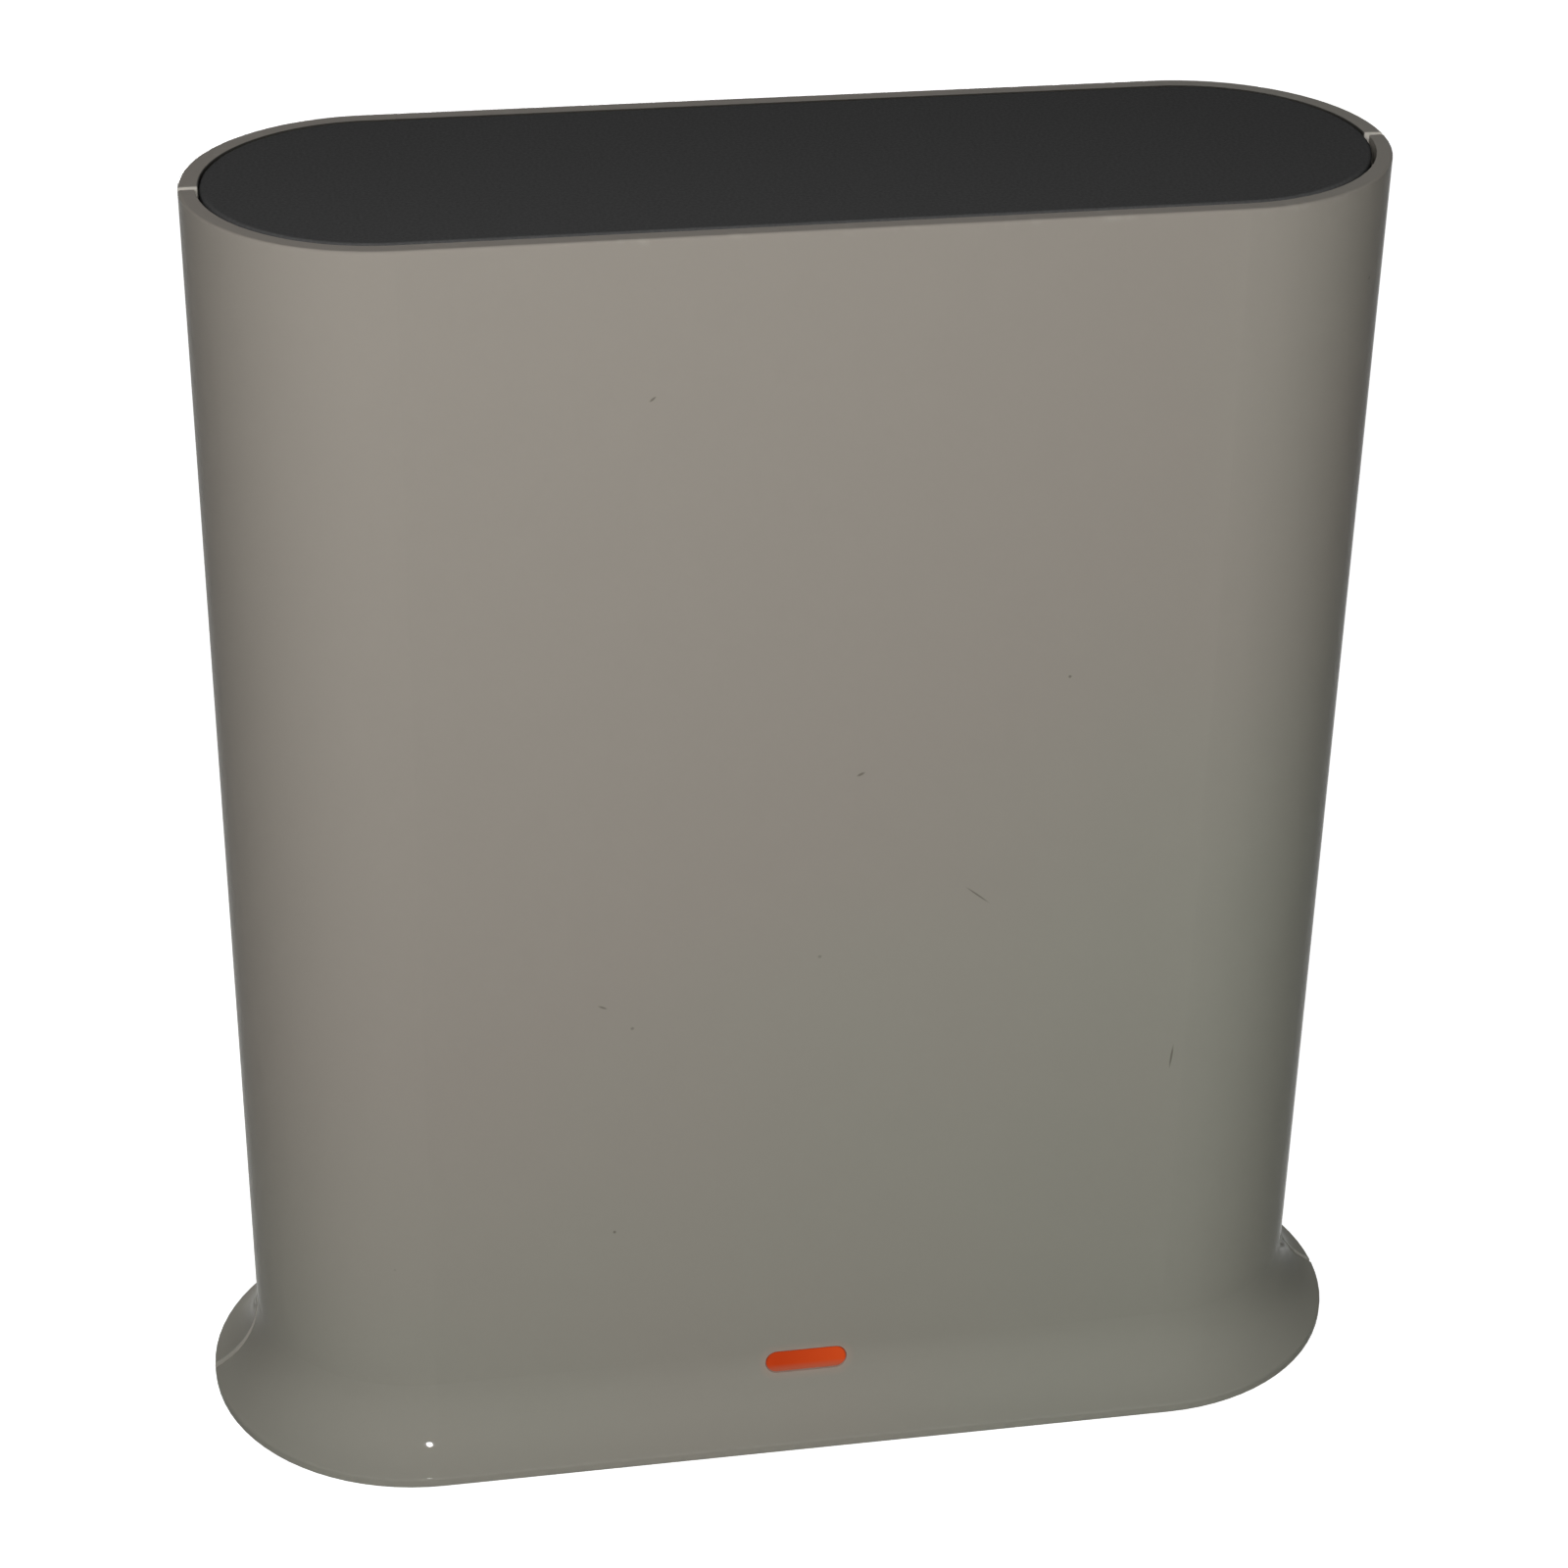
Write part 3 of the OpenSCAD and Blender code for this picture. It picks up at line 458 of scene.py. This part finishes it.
# A little lower than the feet, so that the two faces don't lie in one plane
table_top = -0.02 * MM
corners = [(x * half_floor, y * half_floor, table_top) for x, y in ((-1, -1), (1, -1), (1, 1), (-1, 1))]
floor_mesh = bpy.data.meshes.new("floor")
floor_mesh.from_pydata(corners, [], [(0, 1, 2, 3)])
floor = bpy.data.objects.new("floor", floor_mesh)
bpy.context.scene.collection.objects.link(floor)
table, tree, shader, place = finish("matt_painted_table", "#d2d4d0", roughness=0.8, specular=0.0)
shader.inputs["Emission Color"].default_value = (1, 1, 1, 1)
seen = seen_by(tree, camera_level=0.93, mirror_level=0.3, light_level=0.0)
tree.links.new(seen, shader.inputs["Emission Strength"])
floor_mesh.materials.append(table)
print("floor laid at", table_top / MM, "mm")

# %% [markdown]
# ## Background
# Behind the table there is only white. A backdrop could be a curved sheet, but a plain world needs
# no mesh. It is white to the camera and in reflections. As a light it is weak, so that the lamps
# alone shape the hub.

# %% World
world = bpy.data.worlds.new("studio")
bpy.context.scene.world = world
world.use_nodes = True
background = world.node_tree.nodes["Background"]
background.inputs["Color"].default_value = (1, 1, 1, 1)
seen = seen_by(world.node_tree, camera_level=1.0, mirror_level=1.0, light_level=0.07)
world.node_tree.links.new(seen, background.inputs["Strength"])
print("world is white to see and weak as a light")

# %% [markdown]
# ## Lights
# The photograph was lit from beside the lens: the front wall is brighter than the rim, both ends
# fall off to a dark grey, and the flare shows one small spot of shine. One lamp can't be soft
# enough for the wall and small enough for the spot, so two share the work. A soft box lights the
# plastic and isn't mirrored, and a small bulb is only mirrored. A low box behind the hub lights
# its back.

# %% Lamps
aim = Vector((0, 0, height / 2))


def soft_box(name, location, width, tall, level):
    """level is the light that it gives to a white card at the hub that faces it."""
    lamp = bpy.data.lights.new(name, "AREA")
    lamp.shape = "RECTANGLE"
    lamp.size, lamp.size_y = width, tall
    away = location - aim
    lamp.energy = level * pi ** 2 * away.length_squared
    body = bpy.data.objects.new(name, lamp)
    body.location = location
    body.rotation_euler = away.to_track_quat("Z", "Y").to_euler()
    bpy.context.scene.collection.objects.link(body)
    print(name, tuple(round(v, 2) for v in location), round(lamp.energy, 2), "W")
    return body


def around(azimuth, elevation, distance):
    """Point round the hub. Azimuth 0 is straight in front and grows to the right."""
    a, e = radians(azimuth), radians(elevation)
    return aim + distance * Vector((sin(a) * cos(e), -cos(a) * cos(e), sin(e)))


key_place = eye + (up * 6 - right * 22) * MM
key_box = soft_box("key_box", key_place, width=0.1, tall=0.1, level=0.75)
key_box.visible_glossy = False
bulb_place = eye + (up * 2 - right * 3) * MM
key_bulb = soft_box("key_bulb", bulb_place, width=0.004, tall=0.03, level=4.0)
key_bulb.visible_diffuse = False
rear_place = around(azimuth=180, elevation=3, distance=1.5)
soft_box("rear_box", rear_place, width=0.9, tall=0.25, level=0.8)

# %% [markdown]
# ## Size
# The finishes change no mesh, so the dressed hub is as large as the imported model. Here the scene is only
# brought up to date.

# %% Bring the scene up to date
bpy.context.view_layer.update()
